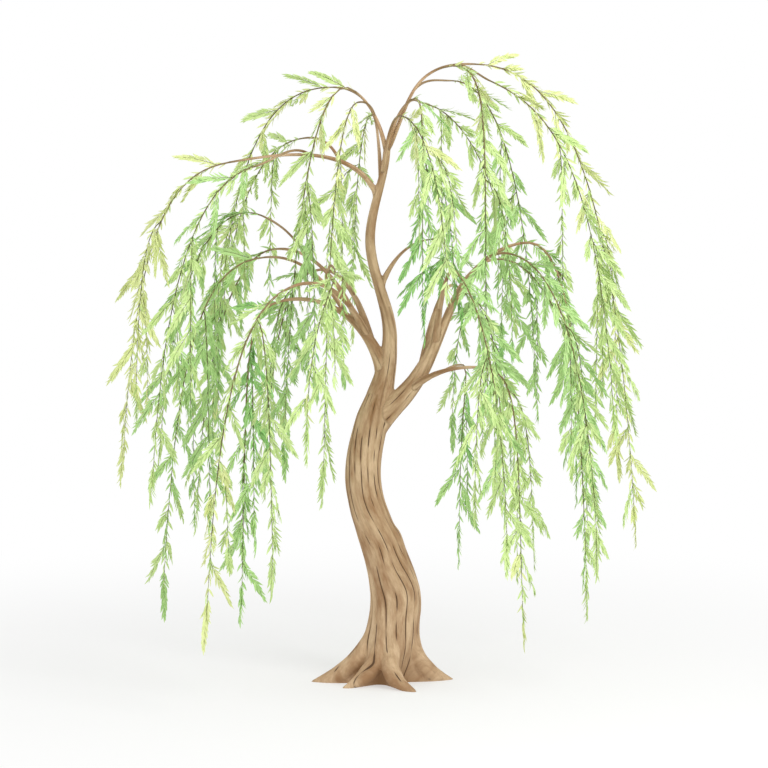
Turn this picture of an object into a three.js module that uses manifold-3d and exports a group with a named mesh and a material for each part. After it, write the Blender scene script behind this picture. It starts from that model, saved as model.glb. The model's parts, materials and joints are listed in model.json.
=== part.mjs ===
// A weeping willow rooted in the ground, at its real size, in millimetres. +Z is up, +X is to the
// right of someone who stands in front of the tree, and +Y points away from them. The origin lies
// in the flat cut under the trunk. Every limb is one tapering solid, cut to fit the limb that
// carries it, and every hanging mass is one solid of twigs and leaves that starts at a bough's tip.
import * as THREE from "three";
import { mergeVertices } from "three/addons/utils/BufferGeometryUtils.js";
import Module from "manifold-3d";

const wasm = await Module();
wasm.setup();

// Driving dimensions of the trunk
const trunkHeight = 6850;
const trunkSway = [[0, 0], [1050, 150], [2660, -266], [4425, 72], [5650, -175], [6850, 38]];
const trunkRadius = [
  [0, 350], [1200, 318], [2350, 232], [3450, 212], [3900, 140], [4300, 98], [5100, 70], [6850, 46],
];
const flareHeight = 850;
const flareFade = 2.4;
const rootHalfWidth = 13.5;
const rootSharpness = 1.8;
const rootPinch = 0.34;
const sweepHeight = 320;
const roots = [
  { turn: 10, sweep: -12, reach: 910 },
  { turn: 70, sweep: 15, reach: 740 },
  { turn: 130, sweep: -14, reach: 800 },
  { turn: 180, sweep: 12, reach: 935 },
  { turn: 220, sweep: 22, reach: 680 },
  { turn: 300, sweep: -24, reach: 790 },
];
const trunkSides = 36;
const trunkRings = 20;
const ringCrowding = 1.5;

// Driving dimensions of the limbs
const seam = 0.35;
const limbBend = 0.38;
const limbTaper = 2;
const limbStep = 480;
const fewestLimbSteps = 4;
const stoutLimb = { thick: 60, sides: 7 };
const thinLimbSides = 5;
const rootShare = 0.8;

// Driving dimensions of the twigs: a mass has one stem, and whips that leave it
const twig = { stem: 0.75, tip: 5, sides: 3, step: 560, fewestSteps: 5 };
const hang = { out: 0.55, drop: 0.22, in: 0.15 };
const whip = { out: 430, from: 0.14, to: 0.55, fall: 0.75, radius: 0.7, droop: -20, apart: 220 };
const whipTurn = { least: 0.9, range: 0.8 };

// Driving dimensions of the leaves, each of which stands for a spray
const leaf = {
  length: 570, width: 180, thick: 12, widest: 0.4, spread: 36, every: 385, first: 150, sunk: 0.7,
};
const endLeaf = { spread: 3, sunk: 3 };
const leafSizes = [1, 0.86, 0.7];
const leafChecks = [0.12, 0.26, 0.4, 0.55, 0.7, 0.85, 1];
const leafWidthChecks = [-0.5, 0, 0.5];
const archCrowding = 0.5;
const turnTries = [0, 1, 2, 3, 4];
const goldenTurn = 2.4;

// Room that each mass keeps to the other masses, the limbs and the ground
const ownSpace = 40;
const limbClearance = 35;
const groundClearance = 120;
const sampleStep = 55;

// Seeds, and how much lengths and turns vary by them
const firstSeed = 1051;
const seedStep = 7919;
const lengthVariety = 0.1;
const whipVariety = 0.2;
const fallVariety = 0.15;

// One row for each bough and the mass at its tip. A bough leaves its carrier at a share of the
// carrier's length and ends at its tip; pitch is its slope in degrees there and at the tip; the
// mass hangs down to its foot. Tips and feet are right, back and up from the origin.
const rows = [
  { name: "right", on: "trunk", at: 0.497, tip: [1700, -400, 5630], pitch: [24, 12],
    thick: 170, thin: 24, foot: [2507, -1050, 1050], whips: 1 },
  { name: "low_right", on: "right", at: 0.17, tip: [1240, -850, 4115], pitch: [38, 0],
    thick: 66, thin: 18, foot: [1690, -1700, 740], whips: 1 },
  { name: "inner_right", on: "low_right", at: 0.4, tip: [1000, -260, 4090], pitch: [12, -10],
    thick: 26, thin: 13, foot: [949, -420, 1560], whips: 0 },
  { name: "left", on: "trunk", at: 0.572, tip: [-1300, -560, 4915], pitch: [78, -12],
    thick: 120, thin: 22, foot: [-1747, -1350, 950], whips: 1 },
  { name: "upper_left", on: "left", at: 0.5, tip: [-1500, -100, 5435], pitch: [60, -6],
    thick: 50, thin: 17, foot: [-2760, -500, 960], whips: 1 },
  { name: "back_upper_left", on: "upper_left", at: 0.5, tip: [-1560, 480, 5930], pitch: [60, 15],
    thick: 28, thin: 14, foot: [-2900, 1050, 2500], whips: 1 },
  { name: "far_left", on: "trunk", at: 0.905, tip: [-1950, 100, 6620], pitch: [66, -10],
    thick: 42, thin: 16, foot: [-3310, 200, 2519], whips: 1 },
  { name: "top_left", on: "trunk", at: 0.985, tip: [-354, -50, 7507], pitch: [76, 40],
    thick: 38, thin: 16, foot: [-1250, -420, 2610], whips: 1 },
  { name: "top_front_left", on: "top_left", at: 0.55, tip: [-330, -480, 7380], pitch: [55, -5],
    thick: 20, thin: 12, foot: [-740, -1150, 2475], whips: 0 },
  { name: "top_back_left", on: "top_left", at: 0.62, tip: [-640, 260, 7560], pitch: [58, 0],
    thick: 19, thin: 13, foot: [-2152, 950, 3811], whips: 1 },
  { name: "top_right", on: "trunk", at: 0.982, tip: [329, -220, 7406], pitch: [72, 35],
    thick: 36, thin: 16, foot: [481, -800, 4400], whips: 1 },
  { name: "crown", on: "trunk", at: 0.988, tip: [740, -160, 7810], pitch: [60, 15],
    thick: 36, thin: 17, foot: [1266, -1350, 3340], whips: 1 },
  { name: "far_right", on: "crown", at: 0.72, tip: [1150, 130, 7850], pitch: [48, -2],
    thick: 22, thin: 15, foot: [3190, 200, 1709], whips: 1 },
  { name: "high_right", on: "crown", at: 0.6, tip: [860, 520, 7640], pitch: [44, 0],
    thick: 20, thin: 13, foot: [1962, 1250, 3494], whips: 1 },
  { name: "back_high_right", on: "crown", at: 0.4, tip: [560, 920, 7330], pitch: [42, -4],
    thick: 22, thin: 13, foot: [1734, 2150, 3975], whips: 1 },
  { name: "middle_right", on: "trunk", at: 0.735, tip: [519, 180, 5634], pitch: [66, 12],
    thick: 48, thin: 14, foot: [937, 520, 4431], whips: 1 },
  { name: "outer_right", on: "far_right", at: 0.6, tip: [1330, -330, 7640], pitch: [10, -20],
    thick: 15, thin: 13, foot: [2849, -700, 3090], whips: 1 },
  { name: "front_left", on: "left", at: 0.3, tip: [-1150, -1450, 5150], pitch: [55, -12],
    thick: 62, thin: 20, foot: [-2114, -2350, 900], whips: 1 },
  { name: "front_right", on: "right", at: 0.42, tip: [880, -1650, 5350], pitch: [60, -8],
    thick: 56, thin: 18, foot: [1450, -2850, 1800], whips: 2 },
  { name: "back_left", on: "left", at: 0.25, tip: [-900, 1600, 5150], pitch: [58, -10],
    thick: 66, thin: 20, foot: [-1600, 2850, 1900], whips: 1 },
  { name: "back_right", on: "right", at: 0.3, tip: [950, 1550, 4950], pitch: [55, -12],
    thick: 70, thin: 20, foot: [1560, 2850, 1800], whips: 2 },
  { name: "far_back_left", on: "left", at: 0.36, tip: [-1450, 1250, 5450], pitch: [55, -8],
    thick: 48, thin: 17, foot: [-2450, 1500, 1700], whips: 1 },
  { name: "far_back_right", on: "right", at: 0.45, tip: [1450, 850, 5350], pitch: [62, 0],
    thick: 36, thin: 17, foot: [2700, 1050, 2000], whips: 1 },
  { name: "far_front_left", on: "far_left", at: 0.5, tip: [-1600, -900, 6600], pitch: [24, -8],
    thick: 24, thin: 14, foot: [-2800, -1650, 2470], whips: 1 },
  { name: "far_front_right", on: "right", at: 0.6, tip: [1550, -1250, 5550], pitch: [50, -5],
    thick: 34, thin: 16, foot: [2560, -2050, 1710], whips: 1 },
  { name: "top_front", on: "trunk", at: 0.94, tip: [200, -800, 7220], pitch: [70, 0],
    thick: 34, thin: 13, foot: [760, -1980, 4700], whips: 1 },
  { name: "top_back", on: "trunk", at: 0.93, tip: [-150, 800, 7200], pitch: [70, 0],
    thick: 34, thin: 13, foot: [-420, 2150, 4100], whips: 1 },
  { name: "front_low_left", on: "front_left", at: 0.6, tip: [-600, -1750, 5400], pitch: [50, -10],
    thick: 30, thin: 14, foot: [-900, -2950, 3200], whips: 0 },
  { name: "back_high_left", on: "far_left", at: 0.32, tip: [-1050, 850, 6900], pitch: [46, -6],
    thick: 24, thin: 13, foot: [-2250, 2250, 3000], whips: 1 },
];
const bark = { colour: "#b8946c", roughness: 0.9 };
const foliage = { colours: ["#d3e092", "#bcd98a", "#a8d47f", "#8fcb74"], roughness: 0.65 };

// A seeded row of numbers from 0 to 1, the same on every run: the minimal standard generator
function seededNumbers(seed) {
  const multiplier = 16807;
  const modulus = 2 ** 31 - 1;
  let state = seed;
  return () => {
    state = (state * multiplier) % modulus;
    return state / modulus;
  };
}

// A factor that lies round one, by as much as the variety on either side
function varied(number, variety) {
  return 1 - variety + 2 * variety * number();
}

// The value at a height, on straight or eased stretches between [height, value] knots
function valueAt(knots, height, eased) {
  const last = knots.length - 1;
  const next = Math.min(knots.findIndex(([level], k) => k === last || (k > 0 && level >= height)), last);
  const [low, from] = knots[next - 1];
  const [high, to] = knots[next];
  const share = eased ? THREE.MathUtils.smoothstep(height, low, high) : (height - low) / (high - low);
  return THREE.MathUtils.lerp(from, to, share);
}

function direction(turn, pitch) {
  const rise = THREE.MathUtils.degToRad(pitch);
  return new THREE.Vector3(Math.cos(turn) * Math.cos(rise), Math.sin(turn) * Math.cos(rise), Math.sin(rise));
}

function solidFrom(geometry) {
  geometry.deleteAttribute("normal");
  geometry.deleteAttribute("uv");
  const merged = mergeVertices(geometry);
  return new wasm.Manifold(new wasm.Mesh({
    numProp: 3,
    vertProperties: new Float32Array(merged.attributes.position.array),
    triVerts: new Uint32Array(merged.index.array),
  }));
}

// The largest body of a solid, which drops loose scraps and fills sealed hollows
function largestBody(solid) {
  return solid.decompose().reduce((best, body) => (body.volume() > best.volume() ? body : best));
}

function meshFrom(name, solid, colour, roughness) {
  const { vertProperties, triVerts } = solid.getMesh();
  const geometry = new THREE.BufferGeometry();
  geometry.setAttribute("position", new THREE.BufferAttribute(new Float32Array(vertProperties), 3));
  geometry.setIndex(new THREE.BufferAttribute(new Uint32Array(triVerts), 1));
  geometry.computeVertexNormals();
  const material = new THREE.MeshStandardMaterial({ color: colour, roughness, metalness: 0 });
  const mesh = new THREE.Mesh(geometry, material);
  mesh.name = name;
  return mesh;
}

// The trunk's middle line, swaying from side to side as it climbs
class TrunkLine extends THREE.Curve {
  getPoint(share) {
    const height = share * trunkHeight;
    return new THREE.Vector3(valueAt(trunkSway, height, true), 0, height);
  }
}

// How far the bark stands from the trunk's middle line: near the ground the roots' ridges stand out,
// sweeping to one side as they run out, and the hollows between them draw in
function trunkReach(height, turn) {
  const radius = valueAt(trunkRadius, height, false);
  const hollow = radius * (1 - rootPinch);
  const fade = Math.max(0, 1 - height / flareHeight) ** flareFade;
  const ridges = roots.map((root) => {
    const crest = root.turn + root.sweep * Math.min(1, height / sweepHeight);
    const apart = THREE.MathUtils.euclideanModulo(turn - crest + 180, 360) - 180;
    return (root.reach - hollow) * Math.exp(-((Math.abs(apart) / rootHalfWidth) ** rootSharpness));
  });
  return radius + fade * (hollow - radius + Math.max(...ridges));
}

function trunkSolid(extra) {
  const shape = new THREE.CylinderGeometry(1, 1, 1, trunkSides, trunkRings);
  const spots = shape.attributes.position;
  for (let k = 0; k < spots.count; k += 1) {
    const share = spots.getY(k) + 0.5;
    const height = trunkHeight * share ** ringCrowding;
    const turn = Math.atan2(-spots.getZ(k), spots.getX(k));
    const inCap = Math.hypot(spots.getX(k), spots.getZ(k)) < 0.5;
    const reach = inCap ? 0 : trunkReach(height, THREE.MathUtils.radToDeg(turn)) + extra;
    const sway = valueAt(trunkSway, height, true);
    const lift = share > 0.999 ? extra : 0;
    spots.setXYZ(k, sway + reach * Math.cos(turn), reach * Math.sin(turn), height + lift);
  }
  return solidFrom(shape);
}

// Straight stretches between evenly spaced points of a smooth line, which is how the solids run
class Chords extends THREE.Curve {
  constructor(smooth, stretch, fewest) {
    super();
    this.smooth = smooth;
    this.count = Math.max(fewest, Math.round(smooth.getLength() / stretch));
    this.spots = smooth.getSpacedPoints(this.count);
  }

  getPoint(share) {
    const at = THREE.MathUtils.clamp(share, 0, 1) * this.count;
    const k = Math.min(Math.floor(at), this.count - 1);
    return this.spots[k].clone().lerp(this.spots[k + 1], at - k);
  }
}

// A cylinder bent along a line, with a radius for each share of its length
function bentSolid(line, radiusAt, sides, extra) {
  const steps = line.count;
  const shape = new THREE.CylinderGeometry(1, 1, 1, sides, steps);
  const { tangents, normals } = line.smooth.computeFrenetFrames(steps, false);
  const spots = shape.attributes.position;
  for (let k = 0; k < spots.count; k += 1) {
    const share = spots.getY(k) + 0.5;
    const ring = Math.round(share * steps);
    const side = new THREE.Vector3().crossVectors(normals[ring], tangents[ring]);
    const radius = radiusAt(share) + extra;
    const pastEnd = extra * ((ring === steps) - (ring === 0));
    const spot = line.spots[ring].clone()
      .addScaledVector(normals[ring], spots.getX(k) * radius)
      .addScaledVector(side, spots.getZ(k) * radius)
      .addScaledVector(tangents[ring], pastEnd);
    spots.setXYZ(k, spot.x, spot.y, spot.z);
  }
  return solidFrom(shape);
}

function limbSolid(limb, extra) {
  if (limb.name === "trunk") {
    return trunkSolid(extra);
  }
  const sides = limb.thick > stoutLimb.thick ? stoutLimb.sides : thinLimbSides;
  return bentSolid(limb.line, limb.radiusAt, sides, extra);
}

function limbLine(start, tip, [leaving, arriving]) {
  const chord = tip.clone().sub(start);
  const turn = Math.atan2(chord.y, chord.x);
  const handle = chord.length() * limbBend;
  const smooth = new THREE.CubicBezierCurve3(
    start,
    start.clone().addScaledVector(direction(turn, leaving), handle),
    tip.clone().addScaledVector(direction(turn, arriving), -handle),
    tip,
  );
  return new Chords(smooth, limbStep, fewestLimbSteps);
}

// The line of a twig that arches over from its start and then hangs down to its foot
function hangingLine(start, way, foot) {
  const out = Math.hypot(foot.x - start.x, foot.y - start.y);
  const shoulder = foot.clone().lerp(start, hang.in);
  shoulder.z = THREE.MathUtils.lerp(start.z, foot.z, hang.drop);
  const rise = start.clone().addScaledVector(way, out * hang.out);
  return new Chords(new THREE.CubicBezierCurve3(start, rise, shoulder, foot), twig.step, twig.fewestSteps);
}

// Points along a line, close enough together to measure distances from
function samples(line, radiusAt) {
  const count = Math.ceil(line.getLength() / sampleStep);
  return line.getPoints(count).map((spot, k) => ({ spot, radius: radiusAt(k / count) }));
}

function nearest(point, crowd) {
  const gap = ({ spot, radius }) => point.distanceTo(spot) - radius;
  return crowd.reduce((least, member) => Math.min(least, gap(member)), Infinity);
}

function makeLimbs() {
  const trunk = { name: "trunk", line: new TrunkLine() };
  trunk.radiusAt = (share) => valueAt(trunkRadius, share * trunkHeight, false);
  const limbs = new Map([["trunk", trunk]]);
  for (const row of rows) {
    const carrier = limbs.get(row.on);
    const start = carrier.line.getPoint(row.at);
    const thick = Math.min(row.thick, carrier.radiusAt(row.at) * rootShare);
    const limb = { name: row.name, thick, line: limbLine(start, new THREE.Vector3(...row.tip), row.pitch) };
    limb.radiusAt = (share) => row.thin + (thick - row.thin) * (1 - share) ** limbTaper;
    limbs.set(row.name, limb);
  }
  return limbs;
}

function makeStrand(line, thick) {
  const radiusAt = (share) => THREE.MathUtils.lerp(thick, twig.tip, share);
  return { line, radiusAt, samples: samples(line, radiusAt) };
}

function makeStem(row, limb) {
  const way = limb.line.smooth.getTangentAt(1);
  const start = limb.line.getPoint(1).addScaledVector(way, seam);
  const foot = new THREE.Vector3(...row.foot);
  foot.z += leaf.length;
  return makeStrand(hangingLine(start, way, foot), row.thin * twig.stem);
}

// Side whips leave the stem by a seeded rule, and those that would come near another mass are skipped
function growWhips(mass, others, wood) {
  const { row, number } = mass;
  const [stem] = mass.strands;
  const outward = Math.atan2(row.foot[1], row.foot[0]);
  for (let k = 0; k < row.whips; k += 1) {
    const share = THREE.MathUtils.lerp(whip.from, whip.to, number());
    const start = stem.line.getPoint(share);
    const turn = outward + (k % 2 === 0 ? 1 : -1) * (whipTurn.least + whipTurn.range * number());
    const out = whip.out * varied(number, whipVariety);
    const foot = start.clone().addScaledVector(direction(turn, 0), out);
    foot.z -= (start.z - row.foot[2] - leaf.length) * whip.fall * varied(number, fallVariety);
    const line = hangingLine(start, direction(turn, whip.droop), foot);
    const strand = makeStrand(line, stem.radiusAt(share) * whip.radius);
    const clear = strand.samples.every(({ spot }) => nearest(spot, others) > whip.apart
      && nearest(spot, wood) > limbClearance);
    if (clear) {
      mass.strands.push(strand);
    }
  }
}

// A pointed blade of eight faces along +Y, with its root a little way behind the origin
function leafBlade(length, sunk) {
  const blade = new THREE.OctahedronGeometry(1);
  const spots = blade.attributes.position;
  for (let k = 0; k < spots.count; k += 1) {
    const end = spots.getY(k);
    const share = end === 0 ? leaf.widest : (end + 1) / 2;
    const wide = leaf.width * length / leaf.length / 2;
    spots.setXYZ(k, spots.getX(k) * wide, share * (length + sunk) - sunk, spots.getZ(k) * leaf.thick / 2);
  }
  return blade;
}

// Whether a leaf keeps to its own mass's space, off the limbs and off the ground
function leafFits(root, { way, across, length }, own, others, wood) {
  return leafChecks.every((part) => leafWidthChecks.every((half) => {
    const wide = part < leaf.widest ? part / leaf.widest : (1 - part) / (1 - leaf.widest);
    const spot = root.clone().addScaledVector(way, part * length)
      .addScaledVector(across, half * wide * leaf.width * length / leaf.length);
    return nearest(spot, own) + ownSpace < nearest(spot, others)
      && nearest(spot, wood) > limbClearance && spot.z > groundClearance;
  }));
}

// The places of a strand's leaves, as shares of it: closer together on its arch, the last at its end
function leafPlaces(line) {
  const length = line.getLength();
  const places = [];
  for (let at = leaf.first; at < length - leaf.every / 2;) {
    places.push(at / length);
    const slope = Math.abs(line.getTangent(at / length).z);
    at += leaf.every * THREE.MathUtils.lerp(archCrowding, 1, slope);
  }
  return [...places, 1];
}

// The heading of a leaf that leaves its twig at a turn about it, and the direction of its width
function leafHeading(mass, along, turn, spread) {
  const rim = new THREE.Vector3(-mass.row.foot[1], mass.row.foot[0], 0).projectOnPlane(along).normalize();
  const rise = new THREE.Vector3().crossVectors(along, rim);
  const sideways = rim.multiplyScalar(Math.cos(turn)).addScaledVector(rise, Math.sin(turn));
  const way = along.clone().multiplyScalar(Math.cos(spread)).addScaledVector(sideways, Math.sin(spread));
  const flat = new THREE.Vector3().crossVectors(way, sideways).normalize();
  return { way, flat, across: new THREE.Vector3().crossVectors(way, flat) };
}

// Each leaf points down and out from its twig, and a twig ends in one leaf that hangs straight on.
// Where a leaf doesn't fit, another turn is tried, then a smaller leaf, or it is skipped.
function growLeaves(mass, others, wood) {
  const { number } = mass;
  const own = mass.strands.flatMap((strand) => strand.samples);
  const leaves = [];
  for (const { line, radiusAt } of mass.strands) {
    let turn = 2 * Math.PI * number();
    for (const share of leafPlaces(line)) {
      const ends = share === 1;
      const root = line.getPoint(share);
      const along = line.getTangent(share);
      const spread = THREE.MathUtils.degToRad(ends ? endLeaf.spread : leaf.spread);
      const natural = leaf.length * varied(number, lengthVariety);
      turn += goldenTurn * varied(number, lengthVariety);
      const choices = leafSizes.flatMap((size) => turnTries.map((tried) => {
        const heading = leafHeading(mass, along, turn + tried * goldenTurn, spread);
        return { ...heading, length: natural * size };
      }));
      const fits = choices.find((choice) => leafFits(root, choice, own, others, wood));
      if (fits) {
        const place = new THREE.Matrix4().makeBasis(fits.across, fits.way, fits.flat).setPosition(root);
        const sunk = radiusAt(share) * (ends ? endLeaf.sunk : leaf.sunk);
        leaves.push(leafBlade(fits.length, sunk).applyMatrix4(place));
      }
    }
  }
  return leaves;
}

function massSolid(mass) {
  const twigs = mass.strands.map(({ line, radiusAt }) => bentSolid(line, radiusAt, twig.sides, 0));
  const parts = [...twigs, ...mass.leaves.map(solidFrom)];
  return largestBody(parts.reduce((whole, part) => whole.add(part)));
}

const willow = new THREE.Group();
const limbs = makeLimbs();
const wood = [...limbs.values()].flatMap(({ line, radiusAt }) => samples(line, radiusAt));

// The bark: each limb is cut by the ones made before it, which leaves a fine seam between them
const cutters = [];
for (const limb of limbs.values()) {
  const whole = cutters.reduce((rest, cutter) => rest.subtract(cutter), limbSolid(limb, 0));
  const name = limb.name === "trunk" ? "trunk" : `bough_${limb.name}`;
  willow.add(meshFrom(name, largestBody(whole), bark.colour, bark.roughness));
  cutters.push(limbSolid(limb, seam));
}

// The hanging masses: stems first, then whips, then leaves, each keeping to its own mass's space
const masses = rows.map((row, k) => ({
  row,
  number: seededNumbers(firstSeed + seedStep * k),
  strands: [makeStem(row, limbs.get(row.name))],
}));
const strandsBut = (mass) => masses.filter((other) => other !== mass)
  .flatMap((other) => other.strands.flatMap((strand) => strand.samples));
for (const mass of masses) {
  growWhips(mass, strandsBut(mass), wood);
}
for (const [k, mass] of masses.entries()) {
  mass.leaves = growLeaves(mass, strandsBut(mass), wood);
  const green = foliage.colours[k % foliage.colours.length];
  willow.add(meshFrom(`mass_${mass.row.name}`, massSolid(mass), green, foliage.roughness));
}

export default willow;
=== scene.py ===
"""A weeping willow rooted in the ground, at its real size, in metres.

The trunk and its stout limbs are one skin with furrowed bark, and the slender limbs run on from them.
The hanging masses grow on from the limbs by the rule of the solids, carried on to finer twigs, whose
sprays of slender leaves keep the outline of the solids' leaves.
"""
import itertools
import json
import math
from collections import namedtuple

import bmesh
import bpy
import numpy as np
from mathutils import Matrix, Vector, noise

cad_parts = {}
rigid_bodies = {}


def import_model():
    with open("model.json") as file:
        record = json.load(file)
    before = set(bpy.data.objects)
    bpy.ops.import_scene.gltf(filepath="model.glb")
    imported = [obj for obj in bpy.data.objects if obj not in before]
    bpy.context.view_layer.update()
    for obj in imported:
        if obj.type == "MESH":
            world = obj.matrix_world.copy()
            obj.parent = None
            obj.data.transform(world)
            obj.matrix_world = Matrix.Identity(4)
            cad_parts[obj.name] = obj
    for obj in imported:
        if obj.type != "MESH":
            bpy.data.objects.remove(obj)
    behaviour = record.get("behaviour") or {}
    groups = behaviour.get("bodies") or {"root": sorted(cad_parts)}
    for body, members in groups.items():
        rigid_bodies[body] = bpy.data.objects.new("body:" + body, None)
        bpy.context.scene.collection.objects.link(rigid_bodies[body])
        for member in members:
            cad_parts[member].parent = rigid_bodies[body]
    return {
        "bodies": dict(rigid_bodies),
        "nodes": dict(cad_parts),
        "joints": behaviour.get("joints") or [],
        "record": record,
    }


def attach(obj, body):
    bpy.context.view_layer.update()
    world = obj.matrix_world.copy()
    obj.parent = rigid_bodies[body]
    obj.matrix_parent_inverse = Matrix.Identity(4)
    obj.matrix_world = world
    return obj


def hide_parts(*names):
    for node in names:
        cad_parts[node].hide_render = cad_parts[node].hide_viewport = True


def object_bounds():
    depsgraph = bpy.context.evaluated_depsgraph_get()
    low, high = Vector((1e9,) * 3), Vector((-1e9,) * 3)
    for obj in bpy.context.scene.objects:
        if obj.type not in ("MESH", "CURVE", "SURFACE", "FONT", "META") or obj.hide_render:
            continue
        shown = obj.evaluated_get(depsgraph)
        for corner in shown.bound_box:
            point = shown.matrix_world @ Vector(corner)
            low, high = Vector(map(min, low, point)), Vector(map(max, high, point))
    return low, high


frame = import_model()
cad_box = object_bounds()

# The trunk, as in the solids: how far its middle sways to the right and its radius, both by height
TRUNK_HEIGHT = 6.85
TRUNK_SWAY = [(0, 0), (1.05, 0.15), (2.66, -0.266), (4.425, 0.072), (5.65, -0.175), (6.85, 0.038)]
TRUNK_RADIUS = [
    (0, 0.35), (1.2, 0.318), (2.35, 0.232), (3.45, 0.212), (3.9, 0.14), (4.3, 0.098), (5.1, 0.07),
    (6.85, 0.046),
]
TRUNK_POINTS = 138

# The flare at its foot, and the turn, sideways sweep and reach of each root's ridge
FLARE_HEIGHT = 0.85
FLARE_FADE = 2.4
ROOT_HALF_WIDTH = 13.5
ROOT_SHARPNESS = 1.8
ROOT_PINCH = 0.34
SWEEP_HEIGHT = 0.32
SWEEP_HALF_WIDTH = 32
Root = namedtuple("Root", "turn sweep reach")
ROOTS = [
    Root(10, -12, 0.91), Root(70, 15, 0.74), Root(130, -14, 0.8), Root(180, 12, 0.935), Root(220, 22, 0.68),
    Root(300, -24, 0.79),
]

# How deep a green the picture gives the masses that it shows, from pale to deep; the rest fall by chance
DRAWN_SHADES = {
    "top_front_left": -0.9, "top_left": -0.2, "top_back_left": 0, "far_left": -0.2, "upper_left": 0.6,
    "left": 0.9, "front_left": 0, "front_low_left": 0, "right": 0.6, "low_right": -0.3, "inner_right": 0.2,
    "top_right": 0.9, "crown": 0.3, "high_right": 0.8, "middle_right": 0.8, "far_right": -0.1,
    "outer_right": 0.2,
}

# The round wood inside each root's ridge touches its crest from within: its height at the trunk, its
# greatest radius, its radius at the toe, and how much it thickens by height
ROOT_TOP = 0.6
ROOT_THICK, ROOT_THIN, ROOT_RISE = 0.115, 0.012, 0.5
ROOT_POINTS, ROOT_CROWDING = 24, 1.5

# A slight swelling on the trunk's right side: its place, its extent and how far it rises
Burl = namedtuple("Burl", "height above below turn half_width rise")
BURL = Burl(1.93, 0.07, 0.17, -8, 32, 0.03)

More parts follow.
